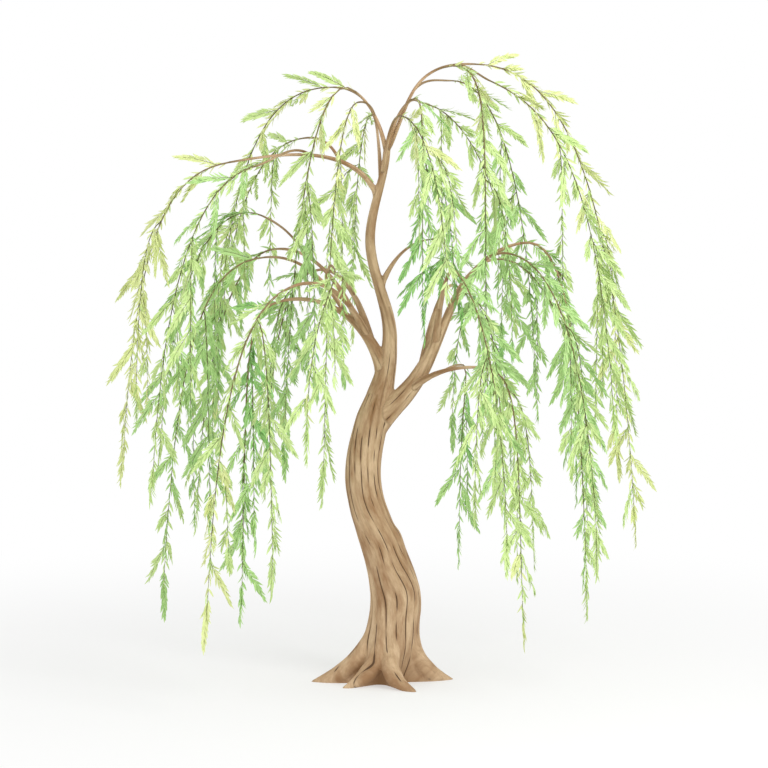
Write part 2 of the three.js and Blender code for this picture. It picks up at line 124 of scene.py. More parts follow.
# One row for each bough and the mass at its tip, as in the solids: its carrier, the share of the
# carrier's length where it leaves, its tip, its slopes in degrees there and at the tip, its radius
# at both ends, the foot that the mass hangs down to, and the number of whips
Row = namedtuple("Row", "name on at tip pitch thick thin foot whips")
ROWS = [
    Row("right", "trunk", 0.497, (1.7, -0.4, 5.63), (24, 12), 0.17, 0.024, (2.507, -1.05, 1.05), 1),
    Row("low_right", "right", 0.17, (1.24, -0.85, 4.115), (38, 0), 0.066, 0.018, (1.69, -1.7, 0.74), 1),
    Row("inner_right", "low_right", 0.4, (1, -0.26, 4.09), (12, -10), 0.026, 0.013,
        (0.949, -0.42, 1.56), 0),
    Row("left", "trunk", 0.572, (-1.3, -0.56, 4.915), (78, -12), 0.12, 0.022, (-1.747, -1.35, 0.95), 1),
    Row("upper_left", "left", 0.5, (-1.5, -0.1, 5.435), (60, -6), 0.05, 0.017, (-2.76, -0.5, 0.96), 1),
    Row("back_upper_left", "upper_left", 0.5, (-1.56, 0.48, 5.93), (60, 15), 0.028, 0.014,
        (-2.9, 1.05, 2.5), 1),
    Row("far_left", "trunk", 0.905, (-1.95, 0.1, 6.62), (66, -10), 0.042, 0.016, (-3.31, 0.2, 2.519), 1),
    Row("top_left", "trunk", 0.985, (-0.354, -0.05, 7.507), (76, 40), 0.038, 0.016,
        (-1.25, -0.42, 2.61), 1),
    Row("top_front_left", "top_left", 0.55, (-0.33, -0.48, 7.38), (55, -5), 0.02, 0.012,
        (-0.74, -1.15, 2.475), 0),
    Row("top_back_left", "top_left", 0.62, (-0.64, 0.26, 7.56), (58, 0), 0.019, 0.013,
        (-2.152, 0.95, 3.811), 1),
    Row("top_right", "trunk", 0.982, (0.329, -0.22, 7.406), (72, 35), 0.036, 0.016, (0.481, -0.8, 4.4), 1),
    Row("crown", "trunk", 0.988, (0.74, -0.16, 7.81), (60, 15), 0.036, 0.017, (1.266, -1.35, 3.34), 1),
    Row("far_right", "crown", 0.72, (1.15, 0.13, 7.85), (48, -2), 0.022, 0.015, (3.19, 0.2, 1.709), 1),
    Row("high_right", "crown", 0.6, (0.86, 0.52, 7.64), (44, 0), 0.02, 0.013, (1.962, 1.25, 3.494), 1),
    Row("back_high_right", "crown", 0.4, (0.56, 0.92, 7.33), (42, -4), 0.022, 0.013,
        (1.734, 2.15, 3.975), 1),
    Row("middle_right", "trunk", 0.735, (0.519, 0.18, 5.634), (66, 12), 0.048, 0.014,
        (0.937, 0.52, 4.431), 1),
    Row("outer_right", "far_right", 0.6, (1.33, -0.33, 7.64), (10, -20), 0.015, 0.013,
        (2.849, -0.7, 3.09), 1),
    Row("front_left", "left", 0.3, (-1.15, -1.45, 5.15), (55, -12), 0.062, 0.02, (-2.114, -2.35, 0.9), 1),
    Row("front_right", "right", 0.42, (0.88, -1.65, 5.35), (60, -8), 0.056, 0.018, (1.45, -2.85, 1.8), 2),
    Row("back_left", "left", 0.25, (-0.9, 1.6, 5.15), (58, -10), 0.066, 0.02, (-1.6, 2.85, 1.9), 1),
    Row("back_right", "right", 0.3, (0.95, 1.55, 4.95), (55, -12), 0.07, 0.02, (1.56, 2.85, 1.8), 2),
    Row("far_back_left", "left", 0.36, (-1.45, 1.25, 5.45), (55, -8), 0.048, 0.017, (-2.45, 1.5, 1.7), 1),
    Row("far_back_right", "right", 0.45, (1.45, 0.85, 5.35), (62, 0), 0.036, 0.017, (2.7, 1.05, 2), 1),
    Row("far_front_left", "far_left", 0.5, (-1.6, -0.9, 6.6), (24, -8), 0.024, 0.014,
        (-2.8, -1.65, 2.47), 1),
    Row("far_front_right", "right", 0.6, (1.55, -1.25, 5.55), (50, -5), 0.034, 0.016,
        (2.56, -2.05, 1.71), 1),
    Row("top_front", "trunk", 0.94, (0.2, -0.8, 7.22), (70, 0), 0.034, 0.013, (0.76, -1.98, 4.7), 1),
    Row("top_back", "trunk", 0.93, (-0.15, 0.8, 7.2), (70, 0), 0.034, 0.013, (-0.42, 2.15, 4.1), 1),
    Row("front_low_left", "front_left", 0.6, (-0.6, -1.75, 5.4), (50, -10), 0.03, 0.014,
        (-0.9, -2.95, 3.2), 0),
    Row("back_high_left", "far_left", 0.32, (-1.05, 0.85, 6.9), (46, -6), 0.024, 0.013,
        (-2.25, 2.25, 3), 1),
]

# The minimal standard generator of random numbers
MULTIPLIER, MODULUS = 16807, 2 ** 31 - 1

# The rule that limbs and hanging twigs follow, as in the solids
LIMB_BEND = 0.38
LIMB_TAPER = 2
ROOT_SHARE = 0.8
STEM_SHARE = 0.75
TIP_FROM = 0.88
TWIG_TIP = 0.005
HANG_OUT, HANG_DROP, HANG_IN = 0.55, 0.22, 0.15
GOLDEN_TURN = 2.4
FIRST_SEED = 1051
SEED_STEP = 7919
Whip = namedtuple("Whip", "out first last fall radius turn turn_range apart")
WHIP = Whip(0.43, 0.14, 0.55, 0.75, 0.7, 0.9, 0.8, 0.22)
WHIP_DROOP = math.radians(-20)
OUT_VARIETY, FALL_VARIETY = 0.2, 0.15

# The rule for the sprays, each of which fills the outline of one leaf of the solids
SPRAY_LENGTH = 0.57
SPRAY_WIDTH = 0.18
SPRAY_WIDEST = 0.4
SPRAY_SPREAD = math.radians(36)
END_SPREAD = math.radians(3)
SPRAY_EVERY = 0.385
FIRST_SPRAY = 0.15
ARCH_CROWDING = 0.5
LENGTH_VARIETY = 0.1
SPRAY_SIZES = [1, 0.86, 0.7]
TURN_TRIES = range(5)
SPRAY_CHECKS = np.array([0.12, 0.26, 0.4, 0.55, 0.7, 0.85, 1])
WIDTH_CHECKS = np.array([-0.5, 0, 0.5])
OWN_SPACE = 0.04
WOOD_CLEARANCE = 0.035
GROUND_CLEARANCE = 0.12
SAMPLE_STEP = 0.055

# What is carried on beyond the solids: finer twigs beside each strand, and leaves about 140 mm long
FINER_SEED = 60013
THREADS = 1
THREAD = Whip(0.1, 0.1, 0.6, 0.62, 0.6, 0.4, 2.4, 0.05)
SMALL_SPRAY = 0.3
SMALL_SPREAD = math.radians(26)
THREAD_SPRAY_EVERY = 0.34
LONE_LEAF_EVERY = 0.05
LONE_SPREAD = math.radians(27)
LEAF_EVERY = 0.023
REAL_LEAF = 0.14
LEAF_SLENDERNESS = 0.2
LEAF_LEAN = (27, 9)
SHOOT_DROOP = 0.1
SPARE_REACH = 0.03

# How much the small sprays and the lone leaves vary
SMALL_VARIETY = 0.2
LONE_TURN_VARIETY, LONE_SPREAD_VARIETY, LONE_SIZE_VARIETY = 0.15, 0.3, 0.2

# How a leaf sits in its spray: how much its lean, tilt, length and face vary, how far on in its stretch it
# starts, its share of a real leaf at the spray's ends, what it gains in the middle, and the tip leaf's share
LEAN_VARIETY, TILT_RANGE, SIZE_VARIETY, FACE_RANGE = 0.25, 0.35, 0.12, 0.4
LEAF_START, START_RANGE = 0.6, 0.3
END_SIZE, MIDDLE_GAIN, TIP_SIZE = 0.75, 0.35, 0.9
LEAST_LEAVES = 3

# A leaf's outline: how far along it, and half its width there as a share of its greatest width
LEAF_OUTLINE = [(0.0, 0.0), (0.16, 0.33), (0.42, 0.5), (0.74, 0.32), (1.0, 0.0)]

# Radii and sides of shoots, strands and threads, and how closely strands and threads follow their lines
SHOOT_THICK, SHOOT_THIN, SHOOT_SIDES, SHOOT_SHORTER = 0.0036, 0.0014, 3, 0.8
STRAND_THIN, STRAND_SIDES, STRAND_STEP = 0.003, 6, 0.11
THREAD_THIN, THREAD_SIDES, THREAD_STEP = 0.002, 4, 0.12
TWIG_TAPER = 0.8

# How deep a spray's green is, from 0 to 1: a base, the painted shade that the inside of the crown adds, the
# painted light that the rim and the height take off, and what its mass's shade of green and chance add, with
# the crown's measures for them
DEPTH_BASE, PAINTED_SHADE_INSIDE, PAINTED_LIGHT_RIM = 0.32, 0.48, 0.16
PAINTED_LIGHT_HIGH, DEPTH_SHADE, DEPTH_CHANCE = 0.24, 0.24, 0.16
CROWN_RADIUS, CROWN_TOP, INSIDE_HEIGHT, INSIDE_REACH = 3.3, 8, 4.4, 3.5

# How finely the bark is skinned: limbs thinner than this are drawn as slender tubes
STOUT, LEAST_STOUT, STOUT_SAMPLES = 0.034, 0.2, 200
SKIN_SIZE, SKIN_SOFTNESS, SKIN_PASSES = 0.0136, 0.5, 4
WELD = 1e-6
TRUNK_SIDES, TRUNK_RINGS, RING_CROWDING = 144, 150, 1.4
STOUT_SIDES, STOUT_STEP, RUN_STEP = 20, 0.05, 0.04
STOUT_ENDING, ENDING_THINNER = 0.1, 0.5
SLENDER_SIDES, SLENDER_STEP, SLENDER_OVERLAP = 10, 0.045, 0.09
FRAME_STEP = 0.04
CLOSEST_BATCH = 4000

# A slender limb's swellings, how many fit in a metre and where they lie in their noise, and how much
# thinner it starts, over which share of its length
SWELL, SWELLS_PER_METRE, SWELL_PLACE = 0.05, 5, 3.1
START_GIRTH, START_GAIN, START_SHARE = 0.88, 0.12, 0.05

# Furrows: how they turn round a limb as they climb and wander to the sides, half the width of one, the
# girths at which their number halves, and how far apart the patterns of limbs and columns lie in their noise
FURROW_TWIST = 0.35
FURROW_WANDER = 0.22
FURROW_HALF_WIDTH = 0.022
FURROW_PLACE = 3.3
WIDE_GIRTH, MIDDLE_GIRTH = 0.17, 0.08
ROOT_RUN_FROM = 1.1
LIMBS_APART, COLUMNS_APART = 9, 37

# The bark's relief: its share of a limb's radius, its least and most depth, the rim at the ground that stays
# flat, and how the dark lines fade where limbs meet and on the steep sides of the roots
RELIEF_SHARE, RELIEF_LEAST, RELIEF_MOST = 0.045, 0.0008, 0.012
GROUND_RIM = 0.006
JOIN_POINTS, JOIN_STEP = 2, 0.35
STEEP_FROM, STEEP_RANGE = 0.75, 0.2

# The swelling under a fork: how far it reaches from the fork, and its girth at both ends, as shares of
# the limb's radius
FAIRING_REACH = 3.4
FAIRING_GIRTH, FAIRING_END = 0.95, 0.96

# The camera stands far off with a long lens: its distance, the width of its view, its rise in degrees and
# the height that it aims at
CAMERA_DISTANCE, VIEW_WIDTH, VIEW_RISE, VIEW_HEIGHT = 40, 9.72, 6, 3.823
SENSOR_WIDTH, VIEW_END = 36, 400

# The lamps' names, places, sizes and powers, the height that they aim at, and the floor's radius and sides
LAMPS = [("key", (9, -12, 15), 8, 1750), ("fill", (-12, -9, 8), 9, 150)]
LAMP_AIM = 4
FLOOR_RADIUS, FLOOR_SIDES = 150, 96


class Numbers:
    """A seeded row of numbers from 0 to 1, the same on every run: the minimal standard generator."""

    def __init__(self, seed):
        self.state = seed

    def __call__(self):
        self.state = self.state * MULTIPLIER % MODULUS
        return self.state / MODULUS

    def varied(self, variety):
        return 1 - variety + 2 * variety * self()

    def around(self, reach):
        return reach * (2 * self() - 1)


class Line:
    """A smooth line through close points, read by shares of its length, or of its height."""

    def __init__(self, points, keys=None):
        self.points = np.array(points, float)
        steps = np.linalg.norm(np.diff(self.points, axis=0), axis=1)
        self.keys = np.concatenate([[0], np.cumsum(steps)]) if keys is None else np.array(keys, float)
        self.length = float(self.keys[-1])

    def shares(self, step):
        return np.linspace(0, 1, math.ceil(self.length / step) + 1)

    def at(self, share):
        where = share * self.length
        return np.array([np.interp(where, self.keys, self.points[:, axis]) for axis in range(3)]).T

    def along(self, share, reach=0.004):
        step = self.at(np.minimum(share + reach, 1)) - self.at(np.maximum(share - reach, 0))
        return step / np.linalg.norm(step, axis=-1, keepdims=True)


Limb = namedtuple("Limb", "name line radius")
Strand = namedtuple("Strand", "line thick shade")


def strand_radius(strand, share):
    return strand.thick + (TWIG_TIP - strand.thick) * share


def bezier(start, first, second, end, steps=64):
    t = np.linspace(0, 1, steps + 1)[:, None]
    curve = (1 - t) ** 3 * start + 3 * (1 - t) ** 2 * t * first + 3 * (1 - t) * t ** 2 * second + t ** 3 * end
    return Line(curve)


def heading(turn, pitch):
    return np.array([math.cos(turn) * math.cos(pitch), math.sin(turn) * math.cos(pitch), math.sin(pitch)])


def unit(vector):
    return vector / np.linalg.norm(vector)


def trunk_sway(height):
    """How far the trunk's middle stands to the side, eased between its bends."""
    heights, offsets = zip(*TRUNK_SWAY)
    k = int(np.clip(np.searchsorted(heights, height), 1, len(heights) - 1))
    share = np.clip((height - heights[k - 1]) / (heights[k] - heights[k - 1]), 0, 1)
    return offsets[k - 1] + (offsets[k] - offsets[k - 1]) * share * share * (3 - 2 * share)


def trunk_radius(share):
    return np.interp(np.asarray(share) * TRUNK_HEIGHT, *zip(*TRUNK_RADIUS))


def turned_apart(turn, other):
    """How many degrees lie between two turns about the trunk."""
    return abs((math.degrees(turn) - other + 180) % 360 - 180)


def flare_fade(height):
    return max(0, 1 - height / FLARE_HEIGHT) ** FLARE_FADE


def root_crests(height, turn):
    """How near a turn lies to each root's crest, from 0 to 1; the crests sweep sideways as they run out."""
    crests = []
    for root in ROOTS:
        apart = turned_apart(turn, root.turn + root.sweep * min(1, height / SWEEP_HEIGHT))
        crests.append(math.exp(-((apart / ROOT_HALF_WIDTH) ** ROOT_SHARPNESS)))
    return crests


def unswept(height, turn):
    """A turn about the trunk with the roots' sideways sweep taken out, so that the bark follows them."""
    left = 1 - min(1, height / SWEEP_HEIGHT)
    shifts = []
    for root in ROOTS:
        apart = turned_apart(turn, root.turn + root.sweep * (1 - left))
        shifts.append(math.radians(root.sweep) * left * math.exp(-((apart / SWEEP_HALF_WIDTH) ** 2)))
    return turn + sum(shifts)


def trunk_reach(height, turn):
    """How far the bark stands from the trunk's middle: near the ground the roots' ridges stand out."""
    radius = float(trunk_radius(height / TRUNK_HEIGHT))
    hollow = radius * (1 - ROOT_PINCH)
    ridges = [(root.reach - hollow) * crest for root, crest in zip(ROOTS, root_crests(height, turn))]
    return radius + flare_fade(height) * (hollow - radius + max(ridges))


def burl_rise(height, turn):
    """How far the burl on the trunk's right side swells out of the bark."""
    upward = (height - BURL.height) / (BURL.above if height > BURL.height else BURL.below)
    return BURL.rise * math.exp(-upward ** 2 - (turned_apart(turn, BURL.turn) / BURL.half_width) ** 2)


def limb_line(start, tip, pitch):
    chord = tip - start
    turn = math.atan2(chord[1], chord[0])
    handle = np.linalg.norm(chord) * LIMB_BEND
    leaving, arriving = (heading(turn, math.radians(slope)) for slope in pitch)
    return bezier(start, start + leaving * handle, tip - arriving * handle, tip)


def make_limbs():
    heights = np.linspace(0, TRUNK_HEIGHT, TRUNK_POINTS)
    line = Line([(trunk_sway(height), 0, height) for height in heights], heights)
    limbs = {"trunk": Limb("trunk", line, trunk_radius)}
    for row in ROWS:
        carrier = limbs[row.on]
        thick = min(row.thick, float(carrier.radius(row.at)) * ROOT_SHARE)
        line = limb_line(carrier.line.at(row.at), np.array(row.tip), row.pitch)

        def radius(share, thick=thick, thin=row.thin):
            return thin + (thick - thin) * (1 - share) ** LIMB_TAPER

        limbs[row.name] = Limb(row.name, line, radius)
    return limbs


def make_root(root):
    """The round wood of a root: it runs down inside the ridge, against its crest, to a toe on the ground."""
    heights = ROOT_TOP * np.linspace(1, 0, ROOT_POINTS) ** ROOT_CROWDING
    turns = np.radians(root.turn + root.sweep * np.minimum(1, heights / SWEEP_HEIGHT))
    crest = np.array([(trunk_reach(height, turn), height) for height, turn in zip(heights, turns)])
    fall = np.gradient(crest, axis=0)
    inward = np.stack([fall[:, 1], -fall[:, 0]], axis=1) / np.linalg.norm(fall, axis=1, keepdims=True)
    girths = np.minimum(ROOT_THICK, ROOT_THIN + ROOT_RISE * heights)
    out, up = (crest + inward * girths[:, None]).T
    sway = [trunk_sway(height) for height in heights]
    line = Line(np.stack([sway + out * np.cos(turns), out * np.sin(turns), up], axis=1))
    return Limb("root", line, lambda share: np.interp(share, line.keys / line.length, girths))


def drawn_radius(limb, share):
    """A limb's radius as it is drawn: its tip narrows to the twig that hangs from it."""
    if limb.name == "trunk":
        return limb.radius(share)
    return limb.radius(share) * (1 - (1 - STEM_SHARE) * np.clip((share - TIP_FROM) / (1 - TIP_FROM), 0, 1))


def hanging_line(start, way, foot):
    """A twig that arches over from its start and then hangs down to its foot."""
    out = math.hypot(foot[0] - start[0], foot[1] - start[1])
    shoulder = foot + (start - foot) * HANG_IN
    shoulder[2] = start[2] + (foot[2] - start[2]) * HANG_DROP
    return bezier(start, start + way * out * HANG_OUT, shoulder, foot)


def make_stem(row, limb, shade):
    foot = np.array(row.foot) + np.array([0, 0, SPRAY_LENGTH])
    return Strand(hanging_line(limb.line.at(1), limb.line.along(1), foot), row.thin * STEM_SHARE, shade)


def crowd_of(lines):
    """Points along lines, each with its radius, to measure distances from."""
    points, radii = [], []
    for line, radius in lines:
        shares = line.shares(SAMPLE_STEP)
        points.append(line.at(shares))
        radii.append(radius(shares))
    return np.concatenate(points), np.concatenate(radii)


def strand_crowd(strands):
    return crowd_of([
        (strand.line, lambda share, strand=strand: strand_radius(strand, share)) for strand in strands
    ])


def clearance(spots, crowd):
    """How far each spot lies from the nearest of a crowd."""
    points, radii = crowd
    return np.min(np.linalg.norm(spots[:, None] - points[None], axis=2) - radii, axis=1)


def grow_side_twigs(row, parent, number, count, rule, wood, others=None):
    """Side twigs leave their parent by the seeded rule of the whips; ones that would foul are skipped."""
    outward = math.atan2(row.foot[1], row.foot[0])
    grown = []
    for k in range(count):
        share = rule.first + (rule.last - rule.first) * number()
        start = parent.line.at(share)
        turn = outward + (1 if k % 2 == 0 else -1) * (rule.turn + rule.turn_range * number())
        foot = start + heading(turn, 0) * rule.out * number.varied(OUT_VARIETY)
        foot[2] -= (start[2] - row.foot[2] - SPRAY_LENGTH) * rule.fall * number.varied(FALL_VARIETY)
        line = hanging_line(start, heading(turn, WHIP_DROOP), foot)
        spots = line.at(line.shares(SAMPLE_STEP))
        clear = clearance(spots, wood).min() > WOOD_CLEARANCE
        if clear and (others is None or clearance(spots, others).min() > rule.apart):
            thick = float(strand_radius(parent, share)) * rule.radius
            grown.append(Strand(line, thick, parent.shade))
    return grown


def strands_but(masses, mass):
    return strand_crowd([strand for other in masses if other is not mass for strand in other["strands"]])


def grow_masses(limbs, wood):
    """Stems, then whips that keep to their own mass's space, then the finer threads beside them."""
    masses = []
    for k, row in enumerate(ROWS):
        finer = Numbers(FINER_SEED + SEED_STEP * k)
        chance = finer()
        stem = make_stem(row, limbs[row.name], DRAWN_SHADES.get(row.name, chance))
        number = Numbers(FIRST_SEED + SEED_STEP * k)
        masses.append({"row": row, "number": number, "finer": finer, "strands": [stem]})
    for mass in masses:
        stem = mass["strands"][0]
        others = strands_but(masses, mass)
        mass["strands"] += grow_side_twigs(
            mass["row"], stem, mass["number"], mass["row"].whips, WHIP, wood, others)
    for mass in masses:
        stem = mass["strands"][0]
        mass["threads"] = grow_side_twigs(mass["row"], stem, mass["finer"], THREADS, THREAD, wood)
    return masses


def spray_places(line, first, every):
    """Where a strand's sprays leave it, closer together on its arch, the last at its end."""
    places, at = [], first
    while at < line.length - every / 2:
        places.append(at / line.length)
        slope = abs(line.along(at / line.length)[2])
        at += every * (ARCH_CROWDING + (1 - ARCH_CROWDING) * slope)
    return places + [1]


def spray_heading(mass, along, turn, spread):
    """The heading of a spray that leaves its twig at a turn about it, its face and its width."""
    rim = np.array([-mass["row"].foot[1], mass["row"].foot[0], 0.0])
    rim = unit(rim - along * np.dot(rim, along))
    sideways = rim * math.cos(turn) + np.cross(along, rim) * math.sin(turn)
    way = along * math.cos(spread) + sideways * math.sin(spread)
    flat = unit(np.cross(way, sideways))
    return way, flat, np.cross(way, flat)


def spray_fits(root, way, across, length, own, others, wood):
    """Whether a spray keeps to its own mass's space, off the limbs and off the ground."""
    wide = np.minimum(SPRAY_CHECKS / SPRAY_WIDEST, (1 - SPRAY_CHECKS) / (1 - SPRAY_WIDEST))
    beside = wide[:, None] * WIDTH_CHECKS * SPRAY_WIDTH * length / SPRAY_LENGTH
    spots = root + (SPRAY_CHECKS * length)[:, None, None] * way + beside[..., None] * across
    spots = spots.reshape(-1, 3)
    if spots[:, 2].min() < GROUND_CLEARANCE or clearance(spots, wood).min() < WOOD_CLEARANCE:
        return False
    return bool(np.all(clearance(spots, own) + OWN_SPACE < clearance(spots, others)))


class Foliage:
    """Collects the leaves' places and the twigs' lines until they are joined into pieces."""

    def __init__(self):
        self.leaves = []
        self.twigs = []

    def add_leaf(self, root, way, flat, length, tone, kind):
        self.leaves.append((root, way, flat, length, tone, kind))

    def add_twig(self, points, thick, thin, sides):
        self.twigs.append((points, thick, thin, sides))


def tone_of(spot, shade, number):
    """Which of the four greens a spray takes: pale at the top and rim as painted light, deepest half way up
    inside as painted shade.
    """
    rim = min(1, math.hypot(spot[0], spot[1]) / CROWN_RADIUS)
    inside = (1 - rim ** 2) * max(0, 1 - abs(spot[2] - INSIDE_HEIGHT) / INSIDE_REACH)
    high = (spot[2] / CROWN_TOP) ** 2
    # Painted shade deepens the green inside the crown; painted light makes it paler at the rim and the top
    depth = (DEPTH_BASE + PAINTED_SHADE_INSIDE * inside - PAINTED_LIGHT_RIM * rim ** 2 - PAINTED_LIGHT_HIGH * high
             + DEPTH_SHADE * shade + DEPTH_CHANCE * number())
    return int(np.clip(depth * 4, 0, 3))


def face_of(way, flat, number):
    """A direction square on to a leaf's way, near the spray's own face, but not quite."""
    loose = flat + np.array([number.around(FACE_RANGE) for _ in range(3)])
    return unit(loose - way * np.dot(loose, way))


def add_spray(foliage, root, way, across, flat, length, tone, number):
    """A side shoot that droops a little, with slender leaves along both sides and one at its end."""
    shoot = length - REAL_LEAF * SHOOT_SHORTER
    droop = np.array([0, 0, -SHOOT_DROOP * length])
    steps = np.linspace(0, 1, 5)[:, None]
    line = root + way * shoot * steps + droop * steps ** 2
    foliage.add_twig(line, SHOOT_THICK, SHOOT_THIN, SHOOT_SIDES)
    count = max(LEAST_LEAVES, round(shoot / LEAF_EVERY))
    for k in range(count):
        share = (k + LEAF_START + START_RANGE * number()) / count
        ahead = unit(way * shoot + 2 * droop * share)
        lean = math.radians(np.interp(share, (0, 1), LEAF_LEAN)) * number.varied(LEAN_VARIETY)
        tilt = number.around(TILT_RANGE)
        side = (across * math.cos(tilt) + flat * math.sin(tilt)) * (1 if k % 2 == 0 else -1)
        leaf_way = unit(ahead * math.cos(lean) + side * math.sin(lean))
        size = REAL_LEAF * (END_SIZE + MIDDLE_GAIN * math.sin(math.pi * share)) * number.varied(SIZE_VARIETY)
        spot = root + way * shoot * share + droop * share ** 2
        foliage.add_leaf(spot, leaf_way, face_of(leaf_way, flat, number), size, tone, number())
    end = root + way * shoot + droop
    foliage.add_leaf(end, ahead, face_of(ahead, flat, number), REAL_LEAF * TIP_SIZE, tone, number())


def dress_with_sprays(foliage, mass, strand, own, others, wood):
    """Puts a spray wherever the rule of the solids puts a leaf: it tries other turns and smaller sizes."""
    number, finer = mass["number"], mass["finer"]
    turn = math.tau * number()
    for share in spray_places(strand.line, FIRST_SPRAY, SPRAY_EVERY):
        root, along = strand.line.at(share), strand.line.along(share)
        natural = SPRAY_LENGTH * number.varied(LENGTH_VARIETY)
        turn += GOLDEN_TURN * number.varied(LENGTH_VARIETY)
        spread = END_SPREAD if share == 1 else SPRAY_SPREAD
        for size, tried in itertools.product(SPRAY_SIZES, TURN_TRIES):
            way, flat, across = spray_heading(mass, along, turn + tried * GOLDEN_TURN, spread)
            if spray_fits(root, way, across, natural * size, own, others, wood):
                tone = tone_of(root, strand.shade, finer)
                add_spray(foliage, root, way, across, flat, natural * size, tone, finer)
                break


def in_reach(spot):
    """Whether a spot keeps to the reach of the solids."""
    low, high = np.array(cad_box)
    return bool(np.all(spot > low - SPARE_REACH) and np.all(spot < high + SPARE_REACH))


def dress_finely(foliage, mass, strand, first, every, wood):
    """Puts small sprays and lone leaves close along a strand, between its larger sprays."""
    number = mass["finer"]
    turn = math.tau * number()
    for share in spray_places(strand.line, first, every):
        root, along = strand.line.at(share), strand.line.along(share)
        turn += GOLDEN_TURN * number.varied(LENGTH_VARIETY)
        length = SMALL_SPRAY * number.varied(SMALL_VARIETY)
        spread = END_SPREAD if share == 1 else SMALL_SPREAD
        way, flat, across = spray_heading(mass, along, turn, spread)
        tips = np.array([root + way * length / 2, root + way * length])
        above_ground = tips[1][2] > GROUND_CLEARANCE
        if in_reach(tips[1]) and above_ground and clearance(tips, wood).min() > WOOD_CLEARANCE:
            tone = tone_of(root, strand.shade, number)
            add_spray(foliage, root, way, across, flat, length, tone, number)
    count = int(strand.line.length / LONE_LEAF_EVERY)
    for k in range(count):
        share = (k + number()) / count
        root, along = strand.line.at(share), strand.line.along(share)
        turn += GOLDEN_TURN * number.varied(LONE_TURN_VARIETY)
        way, flat, _ = spray_heading(mass, along, turn, LONE_SPREAD * number.varied(LONE_SPREAD_VARIETY))
        tip = root + way * REAL_LEAF
        if in_reach(tip) and clearance(tip[None], wood).min() > WOOD_CLEARANCE / 2:
            tone = tone_of(root, strand.shade, number)
            face, length = face_of(way, flat, number), REAL_LEAF * number.varied(LONE_SIZE_VARIETY)
            foliage.add_leaf(root, way, face, length, tone, number())


def grow_foliage(masses, wood):
    foliage = Foliage()
    for mass in masses:
        own, others = strand_crowd(mass["strands"]), strands_but(masses, mass)
        for strand in mass["strands"]:
            shares = np.linspace(0, 1, max(8, round(strand.line.length / STRAND_STEP)))
            foliage.add_twig(strand.line.at(shares), strand.thick, STRAND_THIN, STRAND_SIDES)
            dress_with_sprays(foliage, mass, strand, own, others, wood)
            dress_finely(foliage, mass, strand, FIRST_SPRAY + SPRAY_EVERY / 2, SPRAY_EVERY, wood)
        for thread in mass["threads"]:
            shares = np.linspace(0, 1, max(6, round(thread.line.length / THREAD_STEP)))
            foliage.add_twig(thread.line.at(shares), thread.thick, THREAD_THIN, THREAD_SIDES)
            dress_finely(foliage, mass, thread, FIRST_SPRAY, THREAD_SPRAY_EVERY, wood)
    return foliage


def add_object(name, data):
    made = bpy.data.objects.new(name, data)
    bpy.context.scene.collection.objects.link(made)
    return made


def add_mesh(name, mesh):
    data = bpy.data.meshes.new(name)
    mesh.to_mesh(data)
    mesh.free()
    return add_object(name, data)


def add_attribute(mesh, name, values):
    mesh.attributes.new(name, "FLOAT", "POINT").data.foreach_set("value", values.astype(np.float32))


def join_triangles(name, points, triangles, uv=None):
    """One mesh from an array of points and an array of triangles."""
    mesh = bpy.data.meshes.new(name)
    mesh.vertices.add(len(points))
    mesh.vertices.foreach_set("co", np.asarray(points, np.float32).ravel())
    mesh.loops.add(triangles.size)
    mesh.loops.foreach_set("vertex_index", triangles.astype(np.int32).ravel())
    mesh.polygons.add(len(triangles))
    mesh.polygons.foreach_set("loop_start", np.arange(0, triangles.size, 3, dtype=np.int32))
    mesh.polygons.foreach_set("use_smooth", np.ones(len(triangles), bool))
    if uv is not None:
        corners = uv[triangles.ravel()].astype(np.float32).ravel()
        mesh.uv_layers.new(name="leaf").data.foreach_set("uv", corners)
    mesh.update(calc_edges=True)
    return add_object(name, mesh)


def leaf_shape(bend, curl, fold):
    """The points of a leaf one long: it comes to a point at both ends and folds along its midrib."""
    points = []
    for along, wide in LEAF_OUTLINE:
        lift = -bend * along ** 2
        sideways = curl * along ** 2
        half = wide * LEAF_SLENDERNESS
        if wide == 0:
            points.append((sideways, along, lift))
        else:
            edge = lift + fold * half
            for across, up in ((-half, edge), (0, lift), (half, edge)):
                points.append((sideways + across, along, up))
    return np.array(points)


# Four leaves, each with its own bend, curl and fold
LEAF_WAYS = [(0.1, 0.05, 0.5), (0.22, -0.06, 0.3), (-0.06, 0.09, 0.6), (0.3, -0.02, 0.4)]
LEAF_SHAPES = [leaf_shape(*ways) for ways in LEAF_WAYS]
LEAF_FACES = np.array([
    (0, 2, 1), (0, 3, 2), (1, 2, 5), (1, 5, 4), (2, 3, 6), (2, 6, 5),
    (4, 5, 8), (4, 8, 7), (5, 6, 9), (5, 9, 8), (7, 8, 10), (8, 9, 10),
])


def join_leaves(name, leaves):
    """Joins leaves into one piece, each laid by its root, heading, face, length and shape."""
    roots, ways, flats, lengths, _, kinds = (np.array(values) for values in zip(*leaves))
    shapes = np.array(LEAF_SHAPES)[(kinds * len(LEAF_SHAPES)).astype(int)] * lengths[:, None, None]
    sides = np.cross(ways, flats)
    points = (roots[:, None] + shapes[..., :1] * sides[:, None] + shapes[..., 1:2] * ways[:, None]
              + shapes[..., 2:] * flats[:, None])
    first = np.arange(len(leaves))[:, None, None] * len(LEAF_SHAPES[0])
    flat_shape = leaf_shape(0, 0, 0)
    uv = np.stack([flat_shape[:, 0] / LEAF_SLENDERNESS + 0.5, flat_shape[:, 1]], axis=1)
    triangles = (LEAF_FACES[None] + first).reshape(-1, 3)
    return join_triangles(name, points.reshape(-1, 3), triangles, np.tile(uv, (len(leaves), 1)))


